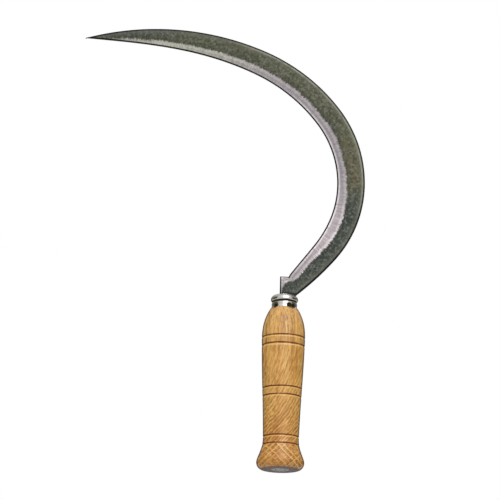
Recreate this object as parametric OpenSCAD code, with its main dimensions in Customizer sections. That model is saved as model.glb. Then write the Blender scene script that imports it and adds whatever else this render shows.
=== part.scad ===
// Hand sickle: a forged crescent blade with a through tang, held in a turned beech handle
// by a pressed steel ferrule and by the tang's own end, riveted over a washer.
// The origin is the centre of the pommel's flat end. +Z runs up the handle's axis, the blade
// lies in the XZ plane, its thick back is towards +X and its ground face is towards -Y.

/* [Blade outline] */
// X of the point where the thick back leaves the ferrule
back_start_x = 8.66; // [8.4:0.01:8.9]
// Z of the point where the thick back leaves the ferrule
back_start_z = 144.74; // [144.5:0.01:145]
// Heading of the back where it leaves the ferrule, from +X towards +Z
back_heading = 39; // [38:0.1:40]
// Full width of the blade, from back to cutting edge
blade_w = 23.35; // [21:0.05:26]
// Part of the full width that is missing where the blade leaves the heel
heel_narrowing = 0.35; // [0.25:0.01:0.4]
// Length over which the blade widens from the heel
heel_run = 30; // [24:1:36]
// Length over which the blade narrows to its point
point_run = 60; // [45:1:75]

/* [Blade section] */
// Thickness of the back beside the heel
back_t = 2.8; // [2.2:0.1:3.4]
// Thickness of the back at the point
point_t = 1.3; // [1:0.1:1.8]
// Thickness of the cutting edge
edge_t = 0.3; // [0.2:0.05:0.5]
// Width of the bevel as a part of the blade's width
bevel_share = 0.32; // [0.25:0.01:0.4]
// How much wider the bevel is at its widest, as a part of its width
bevel_swell = 0.42; // [0:0.01:0.5]
// Width of the narrow chamfer along the back
back_chamfer_w = 1.6; // [0.8:0.1:2]
// Depth of the narrow chamfer along the back
back_chamfer_d = 0.4; // [0.2:0.05:0.5]

/* [Neck and tang] */
// X of the neck's straight inner side, which ends in the heel spur
neck_x = -4.1; // [-4.4:0.1:-3.8]
// Height of the heel spur's flat top
spur_z = 161.2; // [159:0.1:163]
// Thickness of the neck where it leaves the ferrule
neck_t = 4.4; // [4:0.1:4.6]
// Width of the tang at the riveted end
tang_end_w = 5; // [4.6:0.1:5.4]
// Width of the tang at the top of the wood
tang_top_w = 6.8; // [6:0.1:7]
// Thickness of the tang
tang_t = 5; // [4.6:0.1:5.4]

/* [Handle] */
// Height of the shoulder where the wood meets the ferrule's rim
wood_top_z = 133.4; // [130:0.1:134]
// Radius of the wood at the ferrule's rim
wood_top_r = 11.3; // [11:0.1:12]
// Greatest radius of the grip
grip_r = 17.7; // [16:0.1:19]
// Height of the grip's greatest radius
grip_z = 107; // [100:1:112]
// Radius of the waist above the pommel
waist_r = 14.6; // [13:0.1:15.5]
// Height of the waist
waist_z = 25; // [22:1:30]
// Greatest radius of the pommel
pommel_r = 19.5; // [18:0.1:21]
// Height of the pommel's greatest radius
pommel_z = 6; // [4:0.1:8]
// Radius of the pommel's flat end
pommel_flat_r = 14.5; // [12:0.1:16]
// Distance between the two lines of a burnt pair
line_gap = 6.7; // [5:0.1:8]
// Radius of the wire that burns a line
line_wire_r = 0.55; // [0.4:0.05:0.8]
// Depth of a burnt line
line_depth = 0.4; // [0.2:0.05:0.5]

/* [Ferrule] */
// Outer radius of the skirt
skirt_r = 10.4; // [10.2:0.1:10.6]
// Greatest radius of the rolled bead
bead_r = 11.1; // [10.9:0.1:11.4]
// Height of the middle of the bead
bead_z = 140.9; // [140.5:0.1:141.2]
// Height of the ferrule's flat top
ferrule_top_z = 145.2; // [145:0.1:146]
// Wall of the pressed sheet
sheet_t = 0.9; // [0.7:0.1:1]
// Gap around the neck in the ferrule's slot
slot_gap = 0.15; // [0.1:0.05:0.3]
// Number of evenly spaced punch marks round the rim
stakes = 4; // [3:1:6]
// Angle between the last of them and the second blow beside it
second_blow_turn = 20; // [16:1:28]

/* [Washer] */
// Radius of the washer in the pommel
washer_r = 7.5; // [6:0.1:9]
// Thickness of the washer
washer_t = 1.6; // [1.2:0.1:2]

/* [Hidden] */
$fn = 96;

// The back is five arcs that turn the same way, each a radius and an angle.
back_arcs = [[234, 11.1], [100, 38.5], [107, 38.5], [155, 29.8], [222, 40.3]];
ring_step = 4;
// The blade starts where the straight cutting edge meets the spur's top.
spur_s = 7;
neck_steps = 4;
spur_in_x = 2.9;
swell_s = 70;
swell_run = 35;
min_w = 0.5;
tang_chamfer = 0.4;
// The edge lies off the middle of the section, nearer the flat rear face.
edge_offset = 0.15;
// Width of the rear bevel as a part of the front bevel's width.
back_bevel = 0.35;
// Part of the thickness that is left where the bevels start.
thinned = 0.8;
// The chamfer and the bevel never take more than these parts of a narrow section.
chamfer_limit = 0.2;
bevel_limit = 0.7;
// The neck loses its extra thickness over this length.
thin_run = 18;
// How far the bevel is ground at the top of the neck, where 1 is down to the edge.
neck_grind = 0.8;
// The neck's inner side leaves the tang this far above its outer side.
neck_foot_rise = 1;
// Gap between the two rings that form the spur's flat top.
spur_step = 0.05;

// Burnt pairs: the height of the upper line of each pair.
line_zs = [26.8, 66.6, 108.9];
stake_r = 1.5;
stake_depth = 0.45;
stake_z = 135;
stake_turn = 45;
spigot_r = skirt_r - sheet_t;
spigot_top_z = 140.6;
// The spigot's top is bevelled to clear the groove pressed in the ferrule.
spigot_bevel = [1.3, 2.8];
wood_steps = 12;
// Shape of the wood's outline: the bow of the grip, the flare of the pommel and the round shoulder.
grip_bow = 0.3;
flare_power = 0.75;
shoulder_power = 2.6;

// The ferrule's rim turns in over this height and by this much of the radius.
rim_h = 1.6;
rim_in = 0.2;
// The groove under the bead: its depth, half its height and how far it lies below the bead.
groove_d = 0.6;
groove_half_h = 0.9;
groove_drop = 1.7;
// The bead is small and round below and runs into a dome above.
bead_lower_r = 0.8;
dome_r = 6.2;
bead_steps = 4;
dome_steps = 8;
// How far the slot passes the back where it leaves the ferrule.
slot_over = 1.2;
// How far a cut runs past the surface that it opens.
over = 1;
// The ferrule's hollow is lifted by this much, to stay off the rim's own plane.
hollow_lift = 0.01;
// Facets round the small tools that cut the burnt lines and the punch marks.
tool_fn = 24;

function arc_len(a) = a[0] * a[1] * PI / 180;
function arc_sum(i) = i == 0 ? 0 : arc_sum(i - 1) + arc_len(back_arcs[i - 1]);
back_len = arc_sum(len(back_arcs));

// Centre-line step along one arc of radius r, from heading h through angle a.
function arc_move(r, h, a) = r * [sin(h + a) - sin(h), cos(h) - cos(h + a)];
// Point and heading [x, z, heading] on the back at arc length s.
function back_at(s, i = 0, p = [back_start_x, back_start_z], h = back_heading) =
    let (r = back_arcs[i][0], l = arc_len(back_arcs[i]))
    s <= l || i == len(back_arcs) - 1
        ? let (a = s / r * 180 / PI, q = p + arc_move(r, h, a)) [q[0], q[1], h + a]
        : back_at(s - l, i + 1, p + arc_move(r, h, back_arcs[i][1]), h + back_arcs[i][1]);

function blade_w_at(s) =
    max(min_w, blade_w * (1 - heel_narrowing * exp(-s / heel_run)) * (1 - exp((s - back_len) / point_run)));
function bevel_at(s) =
    bevel_share * blade_w_at(s) * (1 + bevel_swell * exp(-pow((s - swell_s) / swell_run, 2)));
function back_t_at(s) =
    back_t + (point_t - back_t) * s / back_len + (neck_t - back_t) * exp(-s / thin_run);
function lerp(a, b, f) = a + (b - a) * f;

// One closed ring of eight points from the back point p to the edge point e, both [x, z].
// t is the thickness, b the bevel's width, g how far the bevel is ground, from 0 to 1,
// and c the chamfer at the back, [width, depth].
function ring(p, e, t, b, g, c) =
    let (
        w = norm(e - p),
        u = (e - p) / w,
        half = t / 2,
        thin = half * lerp(1, thinned, g),
        lo = lerp(c[1] - half, thin - edge_offset - edge_t, g),
        hi = lerp(half - c[1], thin - edge_offset, g),
        cw = min(c[0], w * chamfer_limit),
        bw = min(b, w * bevel_limit),
        uy = [[0, c[1] - half], [cw, -half], [w - bw, -thin], [w, lo],
              [w, hi], [w - bw * back_bevel, thin], [cw, half], [0, half - c[1]]]
    )
    [for (q = uy) [p[0] + u[0] * q[0], q[1], p[1] + u[1] * q[0]]];

function tang_w_at(z) = lerp(tang_end_w, tang_top_w, z / spigot_top_z);
function tang_ring(z) =
    let (x = tang_w_at(z) / 2)
    ring([x, z], [-x, z], tang_t, tang_chamfer, 0, [tang_chamfer, tang_chamfer]);
function neck_ring(f) =
    let (q = back_at(f * spur_s))
    ring([q[0], q[1]], [neck_x, lerp(back_start_z + neck_foot_rise, spur_z, f)], back_t_at(f * spur_s),
         lerp(tang_chamfer / back_bevel, bevel_at(spur_s), f * f), neck_grind * f * f,
         [lerp(tang_chamfer, back_chamfer_w, f), back_chamfer_d]);
function blade_ring(s, e) =
    let (q = back_at(s))
    ring([q[0], q[1]], e, back_t_at(s), bevel_at(s), 1, [back_chamfer_w, back_chamfer_d]);
function edge_at(s) =
    let (q = back_at(s)) [q[0], q[1]] + blade_w_at(s) * [-sin(q[2]), cos(q[2])];

blade_steps = ceil((back_len - spur_s) / ring_step);
blade_ss = [for (i = [1:blade_steps]) lerp(spur_s, back_len, i / blade_steps)];
blade_rings = concat(
    [tang_ring(0), tang_ring(spigot_top_z)],
    [for (i = [0:neck_steps]) neck_ring(i / neck_steps)],
    [blade_ring(spur_s + spur_step, [spur_in_x, spur_z])],
    [for (s = blade_ss) blade_ring(s, edge_at(s))]);

// Skin over a list of rings that all have the same number of points.
module skin(rings) {
    n = len(rings[0]);
    last = (len(rings) - 1) * n;
    polyhedron(
        points = [for (r = rings) each r],
        faces = concat(
            [[for (i = [0:n - 1]) n - 1 - i]],
            [for (k = [0:len(rings) - 2], i = [0:n - 1])
                [k * n + i, k * n + (i + 1) % n, (k + 1) * n + (i + 1) % n]],
            [for (k = [0:len(rings) - 2], i = [0:n - 1])
                [k * n + i, (k + 1) * n + (i + 1) % n, (k + 1) * n + i]],
            [[for (i = [0:n - 1]) last + i]]),
        convexity = 6);
}

// Radius of the wood in the flare, the grip and the shoulder, for f from 0 to 1 up each of them.
function flare_r(f) = lerp(waist_r, pommel_r, (1 + cos(180 * pow(f, flare_power))) / 2);
function bow_r(f) = lerp(waist_r, grip_r, f - grip_bow * sin(360 * f) / (2 * PI));
function shoulder_r(f) = lerp(grip_r, wood_top_r, pow(f, shoulder_power));
function share(z, low, high) = (z - low) / (high - low);
function wood_r_at(z) =
    z > grip_z ? shoulder_r(share(z, grip_z, wood_top_z))
    : z > waist_z ? bow_r(share(z, waist_z, grip_z))
    : flare_r(share(z, pommel_z, waist_z));

// Points of the wood's outline, [radius, height], from the pommel's end to the ferrule's rim.
function pommel_pts() =
    [for (i = [0:wood_steps])
        let (a = 90 * i / wood_steps)
        [lerp(pommel_flat_r, pommel_r, sin(a)), pommel_z * (1 - cos(a))]];
function outline_pts(low, high) =
    [for (i = [1:wood_steps])
        let (z = lerp(low, high, i / wood_steps))
        [wood_r_at(z), z]];

// The tapered square hole that the tang fills, run past both ends of the wood.
module tang_socket() {
    skin([for (z = [-over, spigot_top_z + over])
        let (x = tang_w_at(z) / 2, y = tang_t / 2)
        [[x, -y, z], [-x, -y, z], [-x, y, z], [x, y, z]]]);
}

module burnt_line(z) {
    rotate_extrude()
        translate([wood_r_at(z) + line_wire_r - line_depth, z])
            circle(r = line_wire_r, $fn = tool_fn);
}

module blade() {
    color([0.36, 0.38, 0.36])
        skin(blade_rings);
}

module handle() {
    color([0.75, 0.55, 0.31])
        difference() {
            rotate_extrude()
                polygon(concat(
                    [[0, 0]], pommel_pts(), outline_pts(pommel_z, waist_z),
                    outline_pts(waist_z, grip_z), outline_pts(grip_z, wood_top_z),
                    [[spigot_r, wood_top_z], [spigot_r, spigot_top_z - spigot_bevel[1]],
                     [spigot_r - spigot_bevel[0], spigot_top_z], [0, spigot_top_z]]));
            for (z = line_zs, k = [0, 1])
                burnt_line(z - k * line_gap);
            tang_socket();
            translate([0, 0, -over])
                cylinder(r = washer_r, h = washer_t + over);
        }
}

// Outline of the ferrule's sheet, moved inwards by t.
function ferrule_pts(t) =
    let (top = ferrule_top_z - t, groove_z = bead_z - groove_drop, out_r = bead_r - t)
    concat(
        [[wood_top_r - t - rim_in, wood_top_z], [skirt_r - t, wood_top_z + rim_h],
         [skirt_r - t, groove_z - groove_half_h], [skirt_r - t - groove_d, groove_z]],
        [for (i = [0:bead_steps])
            let (a = 90 * i / (bead_steps + 1))
            [out_r - bead_lower_r * (1 - sin(a)), bead_z - bead_lower_r * cos(a)]],
        [for (i = [0:dome_steps])
            let (a = 90 * i / dome_steps)
            [lerp(dome_r, out_r, cos(a)), bead_z + (top - bead_z) * sin(a)]]);

module ferrule_slot() {
    left = neck_x - slot_gap;
    right = back_start_x + slot_over;
    translate([left, -neck_t / 2 - slot_gap, spigot_top_z])
        cube([right - left, neck_t + 2 * slot_gap, ferrule_top_z - spigot_top_z + over]);
}

module stake(turn) {
    rotate(turn)
        translate([skirt_r + stake_r - stake_depth, 0, stake_z])
            sphere(r = stake_r, $fn = tool_fn);
}

module ferrule() {
    color([0.72, 0.73, 0.75])
        difference() {
            rotate_extrude()
                polygon(concat([[0, wood_top_z]], ferrule_pts(0), [[0, ferrule_top_z]]));
            rotate_extrude()
                polygon(concat([[0, wood_top_z - over], [spigot_r, wood_top_z - over], [spigot_r, wood_top_z]],
                    [for (q = ferrule_pts(sheet_t)) [max(q[0], 0), q[1] + hollow_lift]],
                    [[0, ferrule_top_z - sheet_t]]));
            ferrule_slot();
            for (i = [1:stakes])
                stake(i * 360 / stakes - stake_turn);
            stake(-stake_turn - second_blow_turn);
        }
}

module tang_washer() {
    color([0.66, 0.66, 0.68])
        difference() {
            cylinder(r = washer_r, h = washer_t);
            tang_socket();
        }
}

blade();
ferrule();
handle();
tang_washer();
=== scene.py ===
"""Hand sickle: a forged crescent blade with a riveted tang, a pressed ferrule and a turned beech handle."""
import math

import bmesh
import bpy
from mathutils import Matrix, Vector, noise


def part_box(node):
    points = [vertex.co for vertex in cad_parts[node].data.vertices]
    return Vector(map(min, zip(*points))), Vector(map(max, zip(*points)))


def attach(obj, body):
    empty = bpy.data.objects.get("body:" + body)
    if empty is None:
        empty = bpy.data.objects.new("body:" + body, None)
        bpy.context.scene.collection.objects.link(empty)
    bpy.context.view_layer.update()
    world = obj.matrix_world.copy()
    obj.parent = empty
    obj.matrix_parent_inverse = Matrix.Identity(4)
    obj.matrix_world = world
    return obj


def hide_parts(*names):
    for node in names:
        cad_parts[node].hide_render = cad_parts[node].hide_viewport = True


bl_info = {
    "name": "Hand Sickle",
    "version": (1, 0, 0),
    "blender": (4, 5, 0),
    "location": "View3D > Sidebar > Sickle",
    "description": "Builds a hand sickle with a forged blade, a pressed ferrule and a turned beech handle",
    "category": "Add Mesh",
}

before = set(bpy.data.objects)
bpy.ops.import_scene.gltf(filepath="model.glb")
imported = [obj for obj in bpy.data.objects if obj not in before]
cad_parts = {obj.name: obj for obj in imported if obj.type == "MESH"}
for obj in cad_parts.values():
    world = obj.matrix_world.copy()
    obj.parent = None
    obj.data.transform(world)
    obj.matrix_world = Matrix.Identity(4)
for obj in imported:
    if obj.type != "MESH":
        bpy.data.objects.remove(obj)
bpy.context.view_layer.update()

MM = 0.001
TURN = 2 * math.pi
BODY = "root"

# The solids' own boxes give the sizes that the pieces share.
WOOD_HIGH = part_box("handle")[1]
CAP_LOW, CAP_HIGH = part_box("ferrule")
WASHER_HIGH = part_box("tang_washer")[1]
# The pommel stays this far inside the wood's box.
HAIR = 0.002 * MM
# Facets round the ferrule and the handle, and round the washer.
FACETS, WASHER_FACETS = 144, 96

# The blade's back is five arcs that turn the same way: radius in metres and angle in degrees.
BACK_ARCS = ((0.234, 11.1), (0.100, 38.5), (0.107, 38.5), (0.155, 29.8), (0.222, 40.3))
# Neck of the forging: where its back starts, its straight inner side and the flat top of its spur.
BACK_START = Vector((8.66 * MM, 144.735 * MM))
BACK_HEADING = math.radians(39)
NECK_X = -4.1 * MM
SPUR_Z = 161.2 * MM
SPUR_IN_X = 2.9 * MM
SPUR_ALONG = 7 * MM
# Four punch marks hold the ferrule on the wood, and a second blow fell beside the last of them:
# the turn of each and its height above the ferrule's rim.
STAKES = (*((math.radians(turn), 1.15 * MM) for turn in (45, 135, 225, 315)),
          (math.radians(294), 1.75 * MM))
# Bruise in the wood's shoulder beside the second blow.
BRUISE = (6.3 * MM, -9.5 * MM, WOOD_HIGH.z - 8.3 * MM)


def length_property(name, text, value):
    """A length setting, in metres."""
    return bpy.props.FloatProperty(
        name=name, description=text, default=value, min=0, unit="LENGTH", subtype="DISTANCE", precision=5)


def share_property(name, text, value):
    """A setting from 0 to 1."""
    return bpy.props.FloatProperty(
        name=name, description=text, default=value, min=0, max=1, subtype="FACTOR")


def angle_property(name, text, degrees):
    """An angle setting, given in degrees and kept in radians."""
    return bpy.props.FloatProperty(
        name=name, description=text, default=math.radians(degrees), unit="ROTATION", subtype="ANGLE")


def colour_property(name, text, value):
    """A colour setting, scene linear."""
    return bpy.props.FloatVectorProperty(
        name=name, description=text, default=value, size=3, min=0, max=1, subtype="COLOR")


class SickleBladeSettings(bpy.types.PropertyGroup):
    """Sizes and colours of the forging."""
    width: length_property("Width", "Full width from the back to the cutting edge", 0.02335)
    heel_narrowing: share_property("Heel narrowing", "Part of the width missing beside the heel", 0.35)
    heel_run: length_property("Heel run", "Length over which the blade widens from the heel", 0.030)
    point_run: length_property("Point run", "Length over which the blade narrows to its point", 0.060)
    neck_thickness: length_property("Neck thickness", "Thickness where the neck leaves the ferrule", 0.0044)
    back_thickness: length_property("Back thickness", "Thickness of the back beside the heel", 0.0028)
    point_thickness: length_property("Point thickness", "Thickness of the back at the point", 0.0013)
    edge_thickness: length_property("Edge thickness", "Thickness of the cutting edge", 0.00025)
    bevel_share: share_property("Bevel share", "Width of the bevel as a part of the blade's width", 0.32)
    bevel_swell: share_property("Bevel swell", "How much wider the bevel is at its widest", 0.42)
    chamfer: length_property("Back chamfer", "Width of the narrow chamfer along the back", 0.0016)
    scale_colour: colour_property("Forge scale", "Dark skin of the forging", (0.054, 0.056, 0.031))
    heel_colour: colour_property("Heel scale", "Skin of the forging near the heel", (0.021, 0.030, 0.027))
    ground_colour: colour_property("Ground steel", "Ground steel of the bevel", (0.340, 0.302, 0.326))
    dull_colour: colour_property("Dull steel", "Ground steel above the heel", (0.300, 0.275, 0.298))
    bright_colour: colour_property("Bright steel", "Where the grinding is brightest", (0.64, 0.60, 0.61))


class SickleFerruleSettings(bpy.types.PropertyGroup):
    """Sizes and colours of the ferrule."""
    skirt_radius: length_property("Skirt radius", "Outer radius of the skirt", 0.0104)
    bead_height: length_property("Bead height", "Height of the middle of the rolled bead", 0.1409)
    sheet: length_property("Sheet", "Thickness of the pressed sheet", 0.0009)
    slot_gap: length_property("Slot gap", "Gap around the neck in the slot", 0.00015)
    stake_radius: length_property("Stake radius", "Radius of a punch mark", 0.0018)
    stake_depth: length_property("Stake depth", "Depth of a punch mark", 0.0011)
    plate_colour: colour_property("Plating", "Bright plating", (0.88, 0.84, 0.815))
    # The grime colour also paints shade in the groove, the punch marks, along the rim and round the slot.
    grime_and_shade_colour: colour_property("Grime", "Dirt in the groove and punch marks", (0.010, 0.010, 0.004))


class SickleHandleSettings(bpy.types.PropertyGroup):
    """Sizes and colours of the turned handle."""
    grip_radius: length_property("Grip radius", "Greatest radius of the grip", 0.0177)
    grip_height: length_property("Grip height", "Height of the grip's greatest radius", 0.107)
    waist_radius: length_property("Waist radius", "Radius of the waist above the pommel", 0.0146)
    waist_height: length_property("Waist height", "Height of the waist", 0.025)
    pommel_height: length_property("Pommel height", "Height of the pommel's greatest radius", 0.006)
    end_radius: length_property("End radius", "Radius of the pommel's flat end", 0.0145)
    rim_radius: length_property("Rim radius", "Radius of the wood at the ferrule's rim", 0.0113)
    bore_radius: length_property("Bore radius", "Radius of the bore round the tang", 0.0045)
    line_gap: length_property("Line gap", "Distance between the two lines of a burnt pair", 0.0067)
    line_width: length_property("Line width", "Width of a burnt line", 0.0011)
    line_depth: length_property("Line depth", "Depth of a burnt line", 0.00045)
    wood_colour: colour_property("Wood", "Varnished beech", (0.560, 0.246, 0.040))
    pale_colour: colour_property("Pale wood", "Pale growth in the beech", (0.93, 0.570, 0.175))
    dark_colour: colour_property("Dark wood", "Dark fibres and flecks in the beech", (0.20, 0.075, 0.014))
    burn_colour: colour_property("Burnt line", "Scorched wood in the lines", (0.165, 0.036, 0.005))
    ring_spacing: length_property("Ring spacing", "Distance between growth rings", 0.0027)
    figure_spacing: length_property("Figure spacing", "Distance between lines in the pommel", 0.0042)


class SickleWasherSettings(bpy.types.PropertyGroup):
    """Sizes and colours of the washer under the tang's riveted end."""
    hole_radius: length_property("Hole radius", "Radius of the hole at its inner face", 0.0028)
    rivet_radius: length_property("Rivet radius", "Radius of the tang's riveted end", 0.0037)
    steel_colour: colour_property("Steel", "Plain dull steel", (0.40, 0.41, 0.44))


class SickleStageSettings(bpy.types.PropertyGroup):
    """Camera, floor and lights."""
    lens: bpy.props.FloatProperty(
        name="Lens", description="Focal length in millimetres on a 36 mm sensor", default=200, min=20)
    pitch: angle_property("Pitch", "How far the camera looks up", 14.2)
    roll: angle_property("Roll", "Turn of the camera about its line of sight", 1.697)
    distance: length_property("Distance", "Distance from the camera to the point it looks at", 2.2919)
    aim_x: bpy.props.FloatProperty(
        name="Aim X", description="X of the point looked at", default=-0.02953,
        unit="LENGTH", subtype="DISTANCE")
    aim_z: length_property("Aim height", "Height of the point looked at", 0.18270)
    floor_radius: length_property("Floor radius", "Radius at which the floor has faded out", 2.6)
    floor_colour: colour_property("Floor", "Pale floor", (0.80, 0.80, 0.79))


# ---------------------------------------------------------------- shapes


def lerp(a, b, share):
    """The value that lies that share of the way from a to b."""
    return a + (b - a) * share


def back_at(along):
    """Point (x, z) and heading of the blade's back at a distance along it."""
    point, heading = BACK_START.copy(), BACK_HEADING
    for number, (radius, degrees) in enumerate(BACK_ARCS):
        length = radius * math.radians(degrees)
        step = along if number == len(BACK_ARCS) - 1 else min(along, length)
        end = heading + step / radius
        point.x += radius * (math.sin(end) - math.sin(heading))
        point.y -= radius * (math.cos(end) - math.cos(heading))
        heading = end
        along -= step
        if along <= 0:
            break
    return point, heading


BACK_LENGTH = sum(radius * math.radians(degrees) for radius, degrees in BACK_ARCS)


def wander(value, pitch, seed):
    """Smooth noise from -1 to 1 along one direction, the same each run."""
    return noise.noise(Vector((value / pitch, seed, 0.5)))


def blade_width(blade, along):
    """Width of the blade at a distance along its back."""
    heel = 1 - blade.heel_narrowing * math.exp(-along / blade.heel_run)
    point = 1 - math.exp((along - BACK_LENGTH) / blade.point_run)
    least = 0.5 * MM
    return max(least, blade.width * heel * point)


def bevel_width(blade, along):
    """Width of the ground bevel, widest a little above the heel and uneven by hand."""
    swell_at, swell_run = 70 * MM, 35 * MM
    flare, flare_run, flare_start = 2.75 * MM, 8 * MM, 3 * MM
    uneven, uneven_pitch, uneven_seed = 0.5 * MM, 21 * MM, 3.0
    width = blade.bevel_share * blade_width(blade, along)
    width *= 1 + blade.bevel_swell * math.exp(-((along - swell_at) / swell_run) ** 2)
    past = max(0, along - SPUR_ALONG)
    width += flare * math.exp(-past / flare_run) * (1 - math.exp(-past / flare_start))
    return width + uneven * wander(along, uneven_pitch, uneven_seed)


def back_thickness(blade, along):
    """Thickness of the back at a distance along it."""
    thin_run = 0.018
    back = lerp(blade.back_thickness, blade.point_thickness, along / BACK_LENGTH)
    return back + (blade.neck_thickness - blade.back_thickness) * math.exp(-along / thin_run)


def section(back, edge, thick, bevel, ground, chamfer, edge_thick):
    """One closed section of the forging, from its back to its edge, as (point, across, to the edge, depth).

    back and edge are (x, z) points, ground is how far the bevel is ground, from 0 to 1, and chamfer is
    the width and depth of the chamfer at the back."""
    wide = (edge - back).length
    over = (edge - back) / wide
    half = thick / 2
    thinned, narrow_most, grind_most, rear_share = 0.8, 0.2, 0.7, 0.35
    thin = half * lerp(1, thinned, ground)
    offset, hollow = 0.15 * MM, 0.06 * MM
    low = lerp(chamfer[1] - half, thin - offset - edge_thick, ground)
    high = lerp(half - chamfer[1], thin - offset, ground)
    narrow = min(chamfer[0], wide * narrow_most)
    grind = min(bevel, wide * grind_most)
    rounding = min(0.18 * MM, narrow / 3)
    front, rear = wide - grind, wide - grind * rear_share
    deep = half - chamfer[1]
    lip_at, lip = wide - 0.4 * MM, lerp(-thin, low, 0.93)
    rows, start = [], (0, deep - rounding)
    # Each stretch of the outline: the number of its parts, where it ends, and how far it bows inwards.
    for count, u, y, sag in (
            (4, 0, rounding - deep, 0), (2, rounding, -deep, 0),
            (2, narrow - rounding, -half, 0), (1, narrow + rounding, -half, 0),
            (9, front - rounding, -thin, 0), (1, front + rounding, 0.2 * rounding * ground - thin, 0),
            (8, lip_at, lip, hollow * ground), (2, wide, low, 0), (2, wide, high, 0),
            (4, rear, thin, 0), (10, narrow + rounding, half, 0), (1, narrow - rounding, half, 0),
            (2, rounding, deep, 0), (2, 0, deep - rounding, 0)):
        for number in range(1, count + 1):
            share = number / count
            bow = sag * math.sin(math.pi * share)
            rows.append((lerp(start[0], u, share), lerp(start[1], y, share) + bow))
        start = (u, y)
    return [
        (Vector((back.x + over.x * u, y, back.y + over.y * u)), u, wide - u, u - front)
        for u, y in rows]


def forging_rows(blade, washer):
    """Every section of the forging, from the riveted end of the tang to the blade's point."""
    chamfer_deep, tang_chamfer, tang_half = 0.4 * MM, 0.4 * MM, 2.5 * MM
    tang_low, tang_high = 5.0 * MM, 6.8 * MM
    wood_top = WOOD_HIGH.z
    rows = []

    def tang(height, share_round=0.0, radius=0.0):
        """A section of the tang, square or spread into a round head."""
        half = lerp(tang_low, tang_high, height / wood_top) / 2
        made = section(Vector((half, height)), Vector((-half, height)), 2 * tang_half, tang_chamfer, 0,
                       (tang_chamfer, tang_chamfer), 0)
        placed = []
        for point, across, inside, _ in made:
            flat = Vector((point.x, point.y, 0))
            spread = lerp(flat, flat.normalized() * radius, share_round)
            placed.append((spread + Vector((0, 0, height)), across, inside, -1.0, 0.0))
        return placed

    # The riveted head, then the tang, round in the washer's hole and square above it.
    head, rivet, fit = 0.35 * MM, washer.rivet_radius, washer.hole_radius - 0.05 * MM
    for height, share_round, radius in (
            (0, 1, rivet - head), (0.12 * MM, 1, rivet - 0.1 * MM), (head, 1, rivet - 0.15 * MM),
            (1.1 * MM, 1, fit), (1.7 * MM, 0.5, fit)):
        rows.append(tang(height, share_round, radius))
    rows += [tang(height * MM) for height in (3, 20, 60, 100, 125)]
    rows.append(tang(wood_top))
    neck_steps, foot_rise, neck_grind = 14, 1 * MM, 0.85
    bevel_low, bevel_high, bevel_power = 1.2 * MM, 8.5 * MM, 2.3
    for number in range(neck_steps + 1):
        share = number / neck_steps
        along = share * SPUR_ALONG
        back, _ = back_at(along)
        edge = Vector((NECK_X, lerp(BACK_START.y + foot_rise, SPUR_Z, share)))
        bevel = lerp(bevel_low, bevel_high, share ** bevel_power)
        made = section(back, edge, back_thickness(blade, along), bevel, neck_grind * share ** 2,
                       (lerp(tang_chamfer, blade.chamfer, share), chamfer_deep), blade.edge_thickness)
        rows.append([(*item, along) for item in made])
    step, past_spur = 1.6 * MM, 0.05 * MM
    count = math.ceil((BACK_LENGTH - SPUR_ALONG) / step)
    for number in range(count + 1):
        along = lerp(SPUR_ALONG + past_spur, BACK_LENGTH, number / count)
        back, heading = back_at(along)
        if number == 0:
            edge = Vector((SPUR_IN_X, SPUR_Z))
        else:
            edge = back + blade_width(blade, along) * Vector((-math.sin(heading), math.cos(heading)))
        made = section(back, edge, back_thickness(blade, along), bevel_width(blade, along), 1,
                       (blade.chamfer, chamfer_deep), blade.edge_thickness)
        rows.append([(*item, along) for item in made])
    return rows


def sweep(rows):
    """A closed skin made by extruding one ring through every row, with its ends filled.

    Each row lists (point, across, to the edge, bevel depth, along) for every vertex of the ring."""
    bm = bmesh.new()
    slot = bm.verts.layers.int.new("slot")
    places = [bm.verts.layers.float.new(name) for name in ("across", "inside", "grind", "along")]

    def place(vertex):
        """Moves a vertex to its place in the row and writes down where on the blade it is."""
        vertex.co, *values = row[vertex[slot]]
        for layer, value in zip(places, values):
            vertex[layer] = value

    row = rows[0]
    ring = bmesh.ops.create_circle(bm, segments=len(row), radius=0.01)["verts"]
    for number, vertex in enumerate(ring):
        vertex[slot] = number
        place(vertex)
    edges = list(bm.edges)
    for row in rows[1:]:
        made = bmesh.ops.extrude_edge_only(bm, edges=edges)["geom"]
        moved = {item for item in made if isinstance(item, bmesh.types.BMVert)}
        for vertex in moved:
            place(vertex)
        edges = [item for item in made if isinstance(item, bmesh.types.BMEdge)
                 and item.verts[0] in moved and item.verts[1] in moved]
    bmesh.ops.holes_fill(bm, edges=[edge for edge in bm.edges if edge.is_boundary], sides=0)
    bmesh.ops.recalc_face_normals(bm, faces=bm.faces)
    bm.verts.layers.int.remove(slot)
    return bm


def lathe(outline, steps, marks=None):
    """A closed solid turned round Z from a closed outline of (radius, height) points.

    marks gives a value for each point, kept in the vertices as "mark"."""
    bm = bmesh.new()
    mark = bm.verts.layers.float.new("mark")
    ring = [bm.verts.new((radius, 0, height)) for radius, height in outline]
    for number, vertex in enumerate(ring):
        vertex[mark] = marks[number] if marks else 0.0
    edges = [bm.edges.new((ring[number - 1], ring[number])) for number in range(len(ring))]
    bmesh.ops.spin(
        bm, geom=ring + edges, cent=(0, 0, 0), axis=(0, 0, 1), angle=TURN, steps=steps, use_merge=True)
    bmesh.ops.remove_doubles(bm, verts=bm.verts, dist=0.002 * MM)
    bmesh.ops.recalc_face_normals(bm, faces=bm.faces)
    return bm


def rounded(points, passes):
    """The open outline with its corners cut that many times, which rounds them."""
    for _ in range(passes):
        cut = [points[0]]
        for first, second in zip(points, points[1:]):
            cut.append(tuple(lerp(a, b, 0.25) for a, b in zip(first, second)))
            cut.append(tuple(lerp(a, b, 0.75) for a, b in zip(first, second)))
        points = cut + [points[-1]]
    return points


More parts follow.
